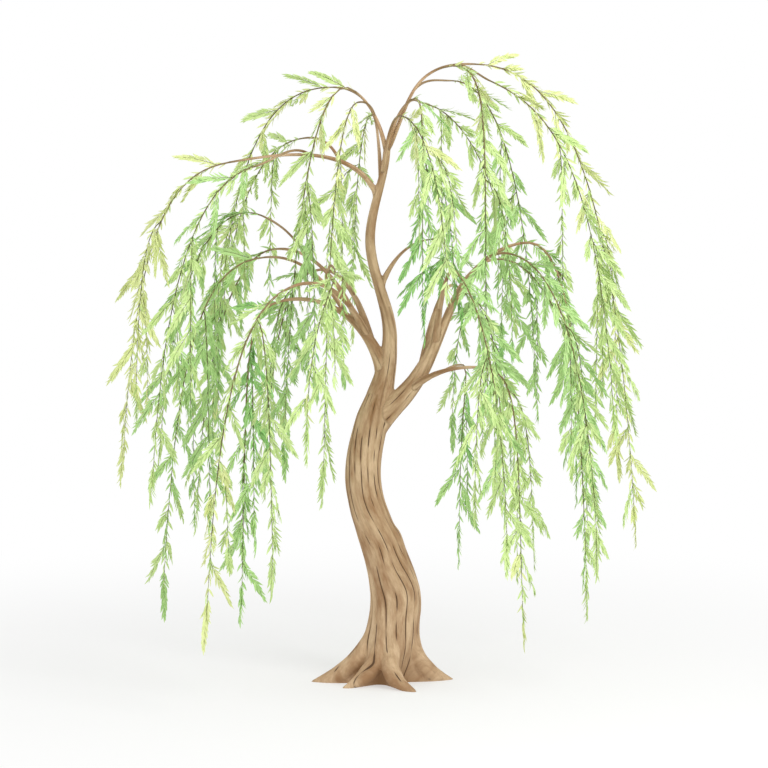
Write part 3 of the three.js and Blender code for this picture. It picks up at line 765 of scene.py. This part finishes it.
def square_frames(points):
    """Headings along a line of points, and two directions square to each, turned as little as can be."""
    headings = np.gradient(points, axis=0)
    headings /= np.linalg.norm(headings, axis=1, keepdims=True)
    normal = np.cross(headings[0], (0, 0, 1) if abs(headings[0][2]) < 0.9 else (1, 0, 0))
    normals = []
    for way in headings:
        normal = unit(normal - way * np.dot(normal, way))
        normals.append(normal)
    normals = np.array(normals)
    return headings, normals, np.cross(headings, normals)


def rings_round(points, radii, sides):
    """Rings of points round a line of points, as [ring, side, axis]."""
    _, normals, binormals = square_frames(points)
    turns = (np.arange(sides) * math.tau / sides)[None, :, None]
    outward = np.cos(turns) * normals[:, None] + np.sin(turns) * binormals[:, None]
    return points[:, None] + radii[:, None, None] * outward


def tube(points, radii, sides):
    """The points and triangles of a closed tube along a line of points."""
    rings = rings_round(points, radii, sides)
    count = len(points)
    low = (np.arange(count - 1)[:, None] * sides + np.arange(sides)[None]).ravel()
    side = (np.arange(count - 1)[:, None] * sides + (np.arange(sides)[None] + 1) % sides).ravel()
    walls = np.concatenate([
        np.stack([low, side, side + sides], 1), np.stack([low, side + sides, low + sides], 1)
    ])
    fan = np.arange(1, sides - 1)
    caps = [np.stack([0 * fan, fan + 1, fan], 1), np.stack([0 * fan, fan, fan + 1], 1) + (count - 1) * sides]
    return rings.reshape(-1, 3), np.concatenate([walls, *caps])


def join_twigs(name, twigs):
    """Joins the twigs into one piece of fine tubes, with each point's radius in the attribute girth."""
    points, triangles, girths, first = [], [], [], 0
    for line, thick, thin, sides in twigs:
        radii = thick + (thin - thick) * np.linspace(0, 1, len(line)) ** TWIG_TAPER
        spots, faces = tube(line, radii, sides)
        points.append(spots)
        triangles.append(faces + first)
        girths.append(np.repeat(radii, sides))
        first += len(spots)
    piece = join_triangles(name, np.concatenate(points), np.concatenate(triangles))
    add_attribute(piece.data, "girth", np.concatenate(girths))
    return piece


def wrap_limb(mesh, spots):
    """Wraps a grid round a limb, with spots[ring, side] for its corners, and welds it where it meets."""
    rings, sides = spots.shape[:2]
    grid = bmesh.ops.create_grid(mesh, x_segments=sides, y_segments=rings - 1, size=1)
    for vert in grid["verts"]:
        side = round((vert.co.x + 1) / 2 * sides) % sides
        ring = round((vert.co.y + 1) / 2 * (rings - 1))
        vert.co = spots[ring, side]
    bmesh.ops.remove_doubles(mesh, verts=grid["verts"], dist=WELD)


def limb_rings(limb, first, last, step, sides, radius_at):
    """The rings of points round a limb, from one share of its length to another."""
    shares = np.linspace(first, last, max(3, math.ceil((last - first) * limb.line.length / step) + 1))
    return rings_round(limb.line.at(shares), radius_at(shares), sides)


def stout_share(limb):
    """The share of a limb's length up to which it is stout."""
    if limb.name == "trunk":
        return 1
    shares = np.linspace(0, 1, STOUT_SAMPLES)
    stout = shares[limb.radius(shares) > STOUT]
    return float(stout[-1]) if len(stout) and stout[-1] * limb.line.length > LEAST_STOUT else 0


def close_and_keep(mesh, name):
    """Closes the open ends, turns every face outwards and makes the mesh a piece."""
    bmesh.ops.holes_fill(mesh, edges=[edge for edge in mesh.edges if edge.is_boundary], sides=0)
    bmesh.ops.recalc_face_normals(mesh, faces=mesh.faces)
    for face in mesh.faces:
        face.smooth = True
    return add_mesh(name, mesh)


def fairing(row, limbs):
    """The line and the radii of the swelling under a fork, where a limb flows out of its carrier."""
    limb, carrier = limbs[row.name], limbs[row.on]
    away = FAIRING_REACH * float(limb.radius(0))
    low, out = row.at - away / carrier.line.length, away / limb.line.length
    start, end = carrier.line.at(low), limb.line.at(out)
    handle = np.linalg.norm(end - start) * LIMB_BEND
    line = bezier(start, start + carrier.line.along(low) * handle, end - limb.line.along(out) * handle, end)
    thick, thin = FAIRING_GIRTH * float(limb.radius(0)), float(limb.radius(out)) * FAIRING_END
    return Limb(row.name, line, lambda share: thick + (thin - thick) * share)


def trunk_spot(height, turn):
    reach = trunk_reach(height, turn) + burl_rise(height, turn)
    return trunk_sway(height) + reach * math.cos(turn), reach * math.sin(turn), height


def skin_stout_limbs(limbs):
    """The trunk with its roots and the stout limbs, fused under one skin and smoothed at the forks."""
    mesh = bmesh.new()
    turns = np.arange(TRUNK_SIDES) * math.tau / TRUNK_SIDES
    heights = TRUNK_HEIGHT * np.linspace(0, 1, TRUNK_RINGS) ** RING_CROWDING
    wrap_limb(mesh, np.array([[trunk_spot(height, turn) for turn in turns] for height in heights]))
    for limb in limbs.values():
        last = stout_share(limb)
        if limb.name != "trunk" and last:
            ending = STOUT_ENDING / limb.line.length

            def radius_at(shares, limb=limb, last=last, ending=ending):
                ended = np.clip((shares - last + ending) / ending, 0, 1)
                return limb.radius(shares) * (1 - ENDING_THINNER * ended ** 2)

            wrap_limb(mesh, limb_rings(limb, 0, last, STOUT_STEP, STOUT_SIDES, radius_at))
    fairings = [fairing(row, limbs) for row in ROWS if stout_share(limbs[row.name])]
    for run in [*(make_root(root) for root in ROOTS), *fairings]:
        wrap_limb(mesh, limb_rings(run, 0, 1, RUN_STEP, STOUT_SIDES, run.radius))
    piece = close_and_keep(mesh, "trunk_and_stout_limbs")
    remesh = piece.modifiers.new("skin", "REMESH")
    remesh.mode = "VOXEL"
    remesh.voxel_size = SKIN_SIZE
    smooth = piece.modifiers.new("soft", "SMOOTH")
    smooth.factor = SKIN_SOFTNESS
    smooth.iterations = SKIN_PASSES
    return apply_modifiers(piece)


def apply_modifiers(piece):
    finished = bpy.data.meshes.new_from_object(piece.evaluated_get(bpy.context.evaluated_depsgraph_get()))
    piece.modifiers.clear()
    piece.data = finished
    for face in finished.polygons:
        face.use_smooth = True
    return piece


def draw_slender_limbs(limbs):
    """The slender limbs, which run on from inside the stout ones."""
    mesh = bmesh.new()
    for limb in limbs.values():
        last = stout_share(limb)
        if limb.name == "trunk":
            continue
        first = max(0, last - SLENDER_OVERLAP / limb.line.length)

        def radius_at(shares, limb=limb, first=first):
            places = shares * limb.line.length * SWELLS_PER_METRE
            swell = np.array([noise.noise((place, SWELL_PLACE, len(limb.name))) for place in places])
            start = START_GIRTH + START_GAIN * np.clip((shares - first) / START_SHARE, 0, 1)
            return drawn_radius(limb, shares) * (1 + SWELL * swell) * start

        wrap_limb(mesh, limb_rings(limb, first, 1, SLENDER_STEP, SLENDER_SIDES, radius_at))
    return close_and_keep(mesh, "slender_limbs")


def line_columns(girth):
    """How many columns of furrows run up a limb: 50 to 140 mm apart on a stout one, fewer as it thins."""
    return np.where(girth > WIDE_GIRTH, 16.0, np.where(girth > MIDDLE_GIRTH, 8.0, 4.0))


Frame = namedtuple("Frame", "runs points ways rights backs radii")


def limb_frames(limbs):
    """Close points along each limb, with its heading, two sideways directions and its radius there."""
    frames = []
    for limb in limbs.values():
        shares = limb.line.shares(FRAME_STEP)
        points = limb.line.at(shares)
        axes = square_frames(points)
        if limb.name == "trunk":
            axes = [np.tile(axis, (len(points), 1)) for axis in np.eye(3)[[2, 0, 1]]]
        frames.append(Frame(shares * limb.line.length, points, *axes, drawn_radius(limb, shares)))
    return frames


def follow_limbs(spots, frames):
    """For each spot: the limb it lies on, how far along, right of and behind its middle, and its radius."""
    points = np.concatenate([frame.points for frame in frames])
    radii = np.concatenate([frame.radii for frame in frames])
    owners = np.repeat(np.arange(len(frames)), [len(frame.runs) for frame in frames])
    closest = np.concatenate([
        (np.linalg.norm(part[:, None] - points, axis=2) - radii).argmin(axis=1)
        for part in np.array_split(spots, math.ceil(len(spots) / CLOSEST_BATCH))
    ])
    found = np.empty((len(spots), 5))
    for k, frame in enumerate(frames):
        mine = owners[closest] == k
        near = closest[mine] - np.count_nonzero(owners < k)
        run = frame.runs[near] + np.sum((spots[mine] - frame.points[near]) * frame.ways[near], axis=1)
        middle, right, back = (
            np.stack([np.interp(run, frame.runs, values[:, axis]) for axis in range(3)], axis=1)
            for values in (frame.points, frame.rights, frame.backs)
        )
        away = spots[mine] - middle
        found[mine] = np.stack([
            np.full(len(run), k), run, np.sum(away * right, axis=1), np.sum(away * back, axis=1),
            np.interp(run, frame.runs, frame.radii),
        ], axis=1)
    return found.T


def read_vectors(values, name, count):
    flat = np.empty(count * 3, np.float32)
    values.foreach_get(name, flat)
    return flat.reshape(-1, 3).astype(float)


def fade_at_joins(mesh, owners):
    """For each point, 0 where one limb's bark meets another's and 1 a few points away from there."""
    ends = np.empty(len(mesh.edges) * 2, np.int32)
    mesh.edges.foreach_get("vertices", ends)
    first, second = ends.reshape(-1, 2).T
    fade = np.ones(len(owners))
    meeting = owners[first] != owners[second]
    fade[first[meeting]] = 0
    fade[second[meeting]] = 0
    for _ in range(JOIN_POINTS):
        lowest = np.minimum(fade[first], fade[second]) + JOIN_STEP
        np.minimum.at(fade, first, lowest)
        np.minimum.at(fade, second, lowest)
    return fade


def trace_bark(piece, limbs):
    """Finds, for each point, its place along and round its limb, and presses the furrows into the bark.

    The attribute straight holds the point as if its limb were straightened, so the furrows follow the
    limb down into the roots; the furrows' attribute is 1 in the depth of a furrow and, near the ground, also
    holds painted shade in the hollows between the roots' ridges; girth is the limb's radius, columns is the
    number of furrows round it, and lined is 0 where the bark of two limbs meets.
    """
    mesh = piece.data
    count = len(mesh.vertices)
    spots = read_vectors(mesh.vertices, "co", count)
    normals = read_vectors(mesh.vertex_normals, "vector", count)
    owners, run, right, back, girth = follow_limbs(spots, limb_frames(limbs))
    on_trunk = np.array([name == "trunk" for name in limbs])[owners.astype(int)]
    # Where a root's ridge stands out from the trunk, the bark's run goes on outwards along it
    run = run - np.maximum(0, np.hypot(right, back) - girth * ROOT_RUN_FROM)

    # The furrows wander from side to side by up to a fifth of a radian over half a metre
    wander = np.array([noise.noise((x / 0.45, y / 0.45, z / 0.6)) for x, y, z in spots])
    bearing = np.arctan2(back, right)
    around = bearing.copy()
    low = on_trunk & (spots[:, 2] < SWEEP_HEIGHT)
    around[low] = [unswept(height, turn) for height, turn in zip(spots[low, 2], around[low])]
    turn = around + FURROW_TWIST * run + FURROW_WANDER * wander
    straight = np.stack([girth * np.cos(turn), girth * np.sin(turn), run + LIMBS_APART * owners], axis=1)
    columns = line_columns(girth)
    phase = turn / math.tau * columns
    beside = np.abs(phase - np.round(phase)) * math.tau * girth / columns
    column = np.round(phase) / columns % 1 * COLUMNS_APART

    furrow = np.empty(count)
    relief = np.empty(count)
    for k, (x, y, z) in enumerate(straight):
        # A furrow comes and goes over half a metre
        depth = 0.5 + noise.noise((column[k], FURROW_PLACE, z / 0.5))
        furrow[k] = math.exp(-((beside[k] / FURROW_HALF_WIDTH) ** 2)) * min(1, max(0, depth))
        # Near the ground, painted shade: the hollows between the roots' ridges count as furrows, which
        # darkens the bark there and deepens its relief
        if on_trunk[k] and spots[k][2] < FLARE_HEIGHT:
            hollow_shade = 1 - max(root_crests(spots[k][2], math.atan2(back[k], right[k])))
            furrow[k] = max(furrow[k], hollow_shade ** 2 * flare_fade(spots[k][2]) ** 0.5)
        # Creases 130 mm apart that run for over a metre, and lumps of 300 by 600 mm
        ridge = abs(noise.noise((x / 0.13, y / 0.13, z / 1.2)))
        lump = noise.noise((x / 0.3, y / 0.3, z / 0.6 + 3))
        relief[k] = -furrow[k] - 0.4 * (1 - min(1, ridge / 0.2)) + 0.35 + 0.5 * lump
    depth = np.clip(girth * RELIEF_SHARE, RELIEF_LEAST, RELIEF_MOST)
    moved = spots + normals * (relief * depth)[:, None]
    moved[:, 2] = np.where(spots[:, 2] < GROUND_RIM, 0, np.maximum(moved[:, 2], 0))
    mesh.vertices.foreach_set("co", moved.astype(np.float32).ravel())
    # A line would spread on the steep side of a root, which turns away from the trunk's round
    sideways = np.abs(normals[:, 1] * np.cos(bearing) - normals[:, 0] * np.sin(bearing))
    steep = on_trunk & (spots[:, 2] < FLARE_HEIGHT)
    shown = np.clip((STEEP_FROM - sideways) / STEEP_RANGE, 0, 1)
    lined = fade_at_joins(mesh, owners) * np.where(steep, shown, 1)
    for name, values in (("furrow", furrow), ("girth", girth), ("columns", columns), ("lined", lined)):
        add_attribute(mesh, name, values)
    attribute = mesh.attributes.new("straight", "FLOAT_VECTOR", "POINT")
    attribute.data.foreach_set("vector", straight.astype(np.float32).ravel())
    mesh.update()
    return piece


def linear(colour):
    """An sRGB hex colour as a linear one."""
    parts = [int(colour[k:k + 2], 16) / 255 for k in (1, 3, 5)]
    return (*(part / 12.92 if part <= 0.04045 else ((part + 0.055) / 1.055) ** 2.4 for part in parts), 1)


def node(tree, kind, values=None, links=None, **settings):
    """Adds a node with its settings and plain values, fed by sockets or by the first outputs of nodes."""
    made = tree.nodes.new("ShaderNode" + kind)
    for name, value in settings.items():
        setattr(made, name, value)
    for socket, value in (values or {}).items():
        made.inputs[socket].default_value = value
    for socket, source in (links or {}).items():
        output = source.outputs[0] if isinstance(source, bpy.types.Node) else source
        tree.links.new(output, made.inputs[socket])
    return made


def empty_material(name):
    material = bpy.data.materials.new(name)
    material.use_nodes = True
    material.node_tree.nodes.clear()
    return material, material.node_tree


def set_stops(ramp, *stops):
    """Gives a colour ramp its stops, each a position and an sRGB hex colour."""
    for element, (position, colour) in zip(ramp.color_ramp.elements, stops):
        element.position, element.color = position, linear(colour)


def drawn_out_noise(tree, straight, across, along, **values):
    """Noise with so many patches in a metre across a limb and along it."""
    scaled = node(tree, "VectorMath", {1: (across, across, along)}, {0: straight}, operation="MULTIPLY")
    return node(tree, "TexNoise", {"Scale": 1, **values}, {"Vector": scaled}).outputs["Fac"]


def furrow_lines(tree, straight, girth, columns, lined):
    """Dark lines along the columns of furrows: 16 mm wide at most, and broken into spindles."""
    parts = node(tree, "SeparateXYZ", None, {0: straight}).outputs
    turn = node(tree, "Math", None, {0: parts["Y"], 1: parts["X"]}, operation="ARCTAN2")
    turn = node(tree, "Math", {1: math.tau}, {0: turn}, operation="DIVIDE")
    phase = node(tree, "Math", {2: 0.5}, {0: turn, 1: columns}, operation="MULTIPLY_ADD")
    index = node(tree, "Math", None, {0: phase}, operation="FLOOR")
    beside = node(tree, "Math", None, {0: phase}, operation="FRACT")
    beside = node(tree, "Math", {1: 0.5}, {0: beside}, operation="SUBTRACT")
    beside = node(tree, "Math", None, {0: beside}, operation="ABSOLUTE")
    beside = node(tree, "Math", None, {0: beside, 1: girth}, operation="MULTIPLY")
    beside = node(tree, "Math", {1: math.tau}, {0: beside}, operation="MULTIPLY")
    beside = node(tree, "Math", None, {0: beside, 1: columns}, operation="DIVIDE")
    around = node(tree, "Math", None, {0: index, 1: columns}, operation="DIVIDE")
    around = node(tree, "Math", {1: 1}, {0: around}, operation="FLOORED_MODULO")
    around = node(tree, "Math", {1: COLUMNS_APART}, {0: around}, operation="MULTIPLY")
    # A line comes and goes over some 300 mm
    upward = node(tree, "Math", {1: 0.3}, {0: parts["Z"]}, operation="DIVIDE")
    where = node(tree, "CombineXYZ", None, {"X": around, "Z": upward})
    drawn = node(tree, "TexNoise", {"Scale": 1, "Detail": 0}, {"Vector": where})
    drawn = node(tree, "MapRange", {"From Min": 0.46, "From Max": 0.58}, {"Value": drawn.outputs["Fac"]})
    # Half a line's width, narrower on a thin limb
    widths = {"From Min": 0.02, "From Max": 0.2, "To Min": 0.001, "To Max": 0.008}
    most = node(tree, "MapRange", widths, {"Value": girth})
    half = node(tree, "Math", None, {0: drawn, 1: most}, operation="MULTIPLY")
    inside = node(tree, "Math", None, {0: half, 1: beside}, operation="SUBTRACT")
    line = node(tree, "MapRange", {"From Max": 0.003}, {"Value": inside})
    return node(tree, "Math", None, {0: line, 1: lined}, operation="MULTIPLY")


def furrowed_willow_bark():
    """Willow bark: dry, warm tan ridges with dark furrows that run lengthwise, painted shade in the hollows
    between the roots' ridges near the ground; thin limbs are olive.
    """
    material, tree = empty_material("furrowed_willow_bark")
    straight = node(tree, "Attribute", attribute_name="straight").outputs["Vector"]
    furrow, girth, columns, lined = (
        node(tree, "Attribute", attribute_name=name).outputs["Fac"]
        for name in ("furrow", "girth", "columns", "lined")
    )
    line = furrow_lines(tree, straight, girth, columns, lined)

    # Grain 6 mm wide and 80 mm long, drawn as coarse as it needs to show
    grain = drawn_out_noise(tree, straight, 160, 12, Detail=3, Roughness=0.6)
    # Weathered washes of lighter and darker tan, 150 mm wide and half a metre long
    wash = drawn_out_noise(tree, straight, 1 / 0.15, 1 / 0.5, Detail=4, Roughness=0.6)

    tan = node(tree, "ValToRGB", None, {"Fac": wash})
    set_stops(tan, (0.35, "#a27d5a"), (0.63, "#d9bc98"))
    streak = node(tree, "MapRange", {"From Min": 0.42, "From Max": 0.7, "To Max": 0.35}, {"Value": grain})
    streaked = node(tree, "Mix", {7: linear("#9c7a58")}, {0: streak, 6: tan}, data_type="RGBA")
    # Darker in the furrows, and darker as painted shade in the hollows between the roots' ridges near the
    # ground
    deep = node(tree, "MapRange", {"From Min": 0.25, "From Max": 1, "To Max": 0.7}, {"Value": furrow})
    shaded = node(tree, "Mix", {7: linear("#876440")}, {0: deep, 6: streaked.outputs[2]}, data_type="RGBA")
    dark = node(tree, "Math", {1: 0.85}, {0: line}, operation="MULTIPLY")
    lined = node(tree, "Mix", {7: linear("#4a3424")}, {0: dark, 6: shaded.outputs[2]}, data_type="RGBA")
    youth = node(tree, "MapRange", {"From Min": 0.018, "From Max": 0.006}, {"Value": girth})
    young = node(tree, "Mix", {7: linear("#57552b")}, {0: youth, 6: lined.outputs[2]}, data_type="RGBA")

    # Low ridges 35 mm wide and 300 mm long, with the grain on them and the dark lines cut into them
    ridges = drawn_out_noise(tree, straight, 1 / 0.035, 1 / 0.3, Detail=2)
    height = node(tree, "Math", {1: 3}, {0: ridges, 2: grain}, operation="MULTIPLY_ADD")
    height = node(tree, "Math", {1: -1.6}, {0: line, 2: height}, operation="MULTIPLY_ADD")
    bump = node(tree, "Bump", {"Strength": 0.8, "Distance": 0.006}, {"Height": height})
    rough = node(tree, "MapRange", {"To Min": 0.78, "To Max": 0.95}, {"Value": grain})
    shader = node(tree, "BsdfPrincipled", {"Specular IOR Level": 0.3},
                  {"Base Color": young.outputs[2], "Roughness": rough, "Normal": bump})
    node(tree, "OutputMaterial", None, {"Surface": shader})
    return material


def green_willow_twig():
    """Young willow shoots: smooth, thin skin, olive to brown, with a little gloss."""
    material, tree = empty_material("green_willow_twig")
    place = node(tree, "TexCoord").outputs["Object"]
    patches = node(tree, "TexNoise", {"Scale": 9, "Detail": 2}, {"Vector": place})
    colour = node(tree, "ValToRGB", None, {"Fac": patches.outputs["Fac"]})
    set_stops(colour, (0.35, "#4a4726"), (0.65, "#63622f"))
    # From a radius of 6 mm up to 18 mm its skin turns to the tan bark of the limb that it hangs from
    girth = node(tree, "Attribute", attribute_name="girth").outputs["Fac"]
    youth = node(tree, "MapRange", {"From Min": 0.018, "From Max": 0.006}, {"Value": girth})
    aged = node(tree, "Mix", {6: linear("#ab8a67")}, {0: youth, 7: colour}, data_type="RGBA")
    bump = node(tree, "Bump", {"Strength": 0.3, "Distance": 0.001}, {"Height": patches.outputs["Fac"]})
    shader = node(tree, "BsdfPrincipled", {"Roughness": 0.55, "Specular IOR Level": 0.4},
                  {"Base Color": aged.outputs[2], "Normal": bump})
    node(tree, "OutputMaterial", None, {"Surface": shader})
    return material


def willow_leaf(name, dark, light):
    """A willow leaf: thin, waxy and soft, with a paler midrib and faint side veins slanting to its tip."""
    material, tree = empty_material(name)
    place = node(tree, "TexCoord")
    parts = node(tree, "SeparateXYZ", None, {"Vector": place.outputs["UV"]})
    # Leaves differ a little from one to the next, over some 60 mm
    patches = node(tree, "TexNoise", {"Scale": 16, "Detail": 2}, {"Vector": place.outputs["Object"]})
    colour = node(tree, "ValToRGB", None, {"Fac": patches.outputs["Fac"]})
    set_stops(colour, (0.36, dark), (0.64, light))
    beside = node(tree, "Math", {1: 0.5}, {0: parts.outputs["X"]}, operation="SUBTRACT")
    beside = node(tree, "Math", None, {0: beside}, operation="ABSOLUTE")
    # The pale midrib is 1 mm wide and fades out 2 mm from the middle of a leaf 28 mm wide
    fading = {"From Min": 0.02, "From Max": 0.07, "To Min": 0.5, "To Max": 0}
    midrib = node(tree, "MapRange", fading, {"Value": beside})
    ribbed = node(tree, "Mix", {7: linear("#eef2bd")}, {0: midrib, 6: colour}, data_type="RGBA")
    # Side veins about 7 mm apart on a leaf 140 mm long
    slant = node(tree, "Math", {1: 0.35}, {0: beside}, operation="MULTIPLY")
    slant = node(tree, "Math", None, {0: parts.outputs["Y"], 1: slant}, operation="SUBTRACT")
    veins = node(tree, "Math", {1: math.tau * 20}, {0: slant}, operation="MULTIPLY")
    veins = node(tree, "Math", None, {0: veins}, operation="SINE")
    bump = node(tree, "Bump", {"Strength": 0.35, "Distance": 0.0006}, {"Height": veins})
    shader = node(tree, "BsdfPrincipled", {"Roughness": 0.5, "Specular IOR Level": 0.35},
                  {"Base Color": ribbed.outputs[2], "Normal": bump})
    node(tree, "OutputMaterial", None, {"Surface": shader})
    return material


# Four greens of one leaf, each with a dark and a light stop; which one a spray takes is partly painted light
# and shade, pale at the top and the rim and deep inside the crown
LEAF_GREENS = {
    "pale": ("#d3e093", "#e2eaa6"),
    "fresh": ("#bcd988", "#cee59a"),
    "mid": ("#9fcb79", "#b4d98b"),
    "deep": ("#7dbb62", "#98cb77"),
}


def place_camera():
    """A long lens far off in front of the tree, which looks down on it a little."""
    camera = add_object("camera", bpy.data.cameras.new("camera"))
    bpy.context.scene.camera = camera
    rise = math.radians(VIEW_RISE)
    back = Vector((0, -math.cos(rise), math.sin(rise)))
    camera.data.sensor_width = SENSOR_WIDTH
    camera.data.lens = SENSOR_WIDTH * CAMERA_DISTANCE / VIEW_WIDTH
    camera.data.clip_end = VIEW_END
    camera.location = Vector((0, 0, VIEW_HEIGHT)) + back * CAMERA_DISTANCE
    camera.rotation_euler = (-back).to_track_quat("-Z", "Y").to_euler()


def light_studio():
    """A white room with a dimmer ceiling, a broad soft lamp at the upper right and a weak one at the left."""
    world = bpy.data.worlds.new("studio")
    bpy.context.scene.world = world
    bpy.context.scene.view_settings.view_transform = "Standard"
    world.use_nodes = True
    tree = world.node_tree
    place = node(tree, "TexCoord").outputs["Generated"]
    way = node(tree, "SeparateXYZ", None, {0: place})
    dimming = {"From Min": 0.12, "From Max": 0.5, "To Min": 1, "To Max": 0.72}
    strength = node(tree, "MapRange", dimming, {"Value": way.outputs["Z"]})
    tree.links.new(strength.outputs[0], tree.nodes["Background"].inputs["Strength"])
    tree.nodes["Background"].inputs["Color"].default_value = (1, 1, 1, 1)
    for name, spot, size, power in LAMPS:
        lamp = bpy.data.lights.new(name, "AREA")
        lamp.size = size
        lamp.energy = power
        holder = add_object(name, lamp)
        holder.location = spot
        holder.rotation_euler = (Vector((0, 0, LAMP_AIM)) - Vector(spot)).to_track_quat("-Z", "Y").to_euler()


def lay_floor():
    """A plain pale floor that fades into the white room behind it."""
    mesh = bmesh.new()
    bmesh.ops.create_circle(mesh, cap_ends=True, segments=FLOOR_SIDES, radius=FLOOR_RADIUS)
    floor = add_mesh("floor", mesh)
    material, tree = empty_material("pale_matt_floor")
    place = node(tree, "TexCoord").outputs["Object"]
    # The floor is half white up to 2 m from the trunk, and plain white from 12 m on
    far = node(tree, "VectorMath", None, {0: place}, operation="LENGTH").outputs["Value"]
    fade = node(tree, "MapRange", {"From Min": 2, "From Max": 12, "To Min": 0.5}, {"Value": far},
                interpolation_type="SMOOTHSTEP")
    matt = node(tree, "BsdfDiffuse", {"Color": (0.92, 0.92, 0.91, 1)})
    white = node(tree, "Emission", {"Color": (1, 1, 1, 1), "Strength": 1.0})
    mixed = node(tree, "MixShader", None, {0: fade, 1: matt, 2: white})
    node(tree, "OutputMaterial", None, {"Surface": mixed})
    floor.data.materials.append(material)


def dress(piece, material, nodes):
    """Gives a piece its material and its slot, attaches it to the root body and hides the solids that it
    replaces.
    """
    piece.data.materials.append(material)
    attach(piece, "root")
    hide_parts(*nodes)


place_camera()
light_studio()
lay_floor()

limbs = make_limbs()
wood = crowd_of([(limb.line, limb.radius) for limb in limbs.values()])
bark = furrowed_willow_bark()
wood_nodes = [name for name in frame["nodes"] if not name.startswith("mass_")]
mass_nodes = [name for name in frame["nodes"] if name.startswith("mass_")]
stout = {name: limb for name, limb in limbs.items() if stout_share(limb)}
dress(trace_bark(skin_stout_limbs(limbs), stout), bark, wood_nodes)
dress(trace_bark(draw_slender_limbs(limbs), limbs), bark, wood_nodes)

foliage = grow_foliage(grow_masses(limbs, wood), wood)
dress(join_twigs("hanging_twigs", foliage.twigs), green_willow_twig(), mass_nodes)
for tone, (name, (dark, light)) in enumerate(LEAF_GREENS.items()):
    leaves = [leaf for leaf in foliage.leaves if leaf[4] == tone]
    piece = join_leaves(f"leaves_{name}", leaves)
    dress(piece, willow_leaf(f"willow_leaf_{name}", dark, light), mass_nodes)
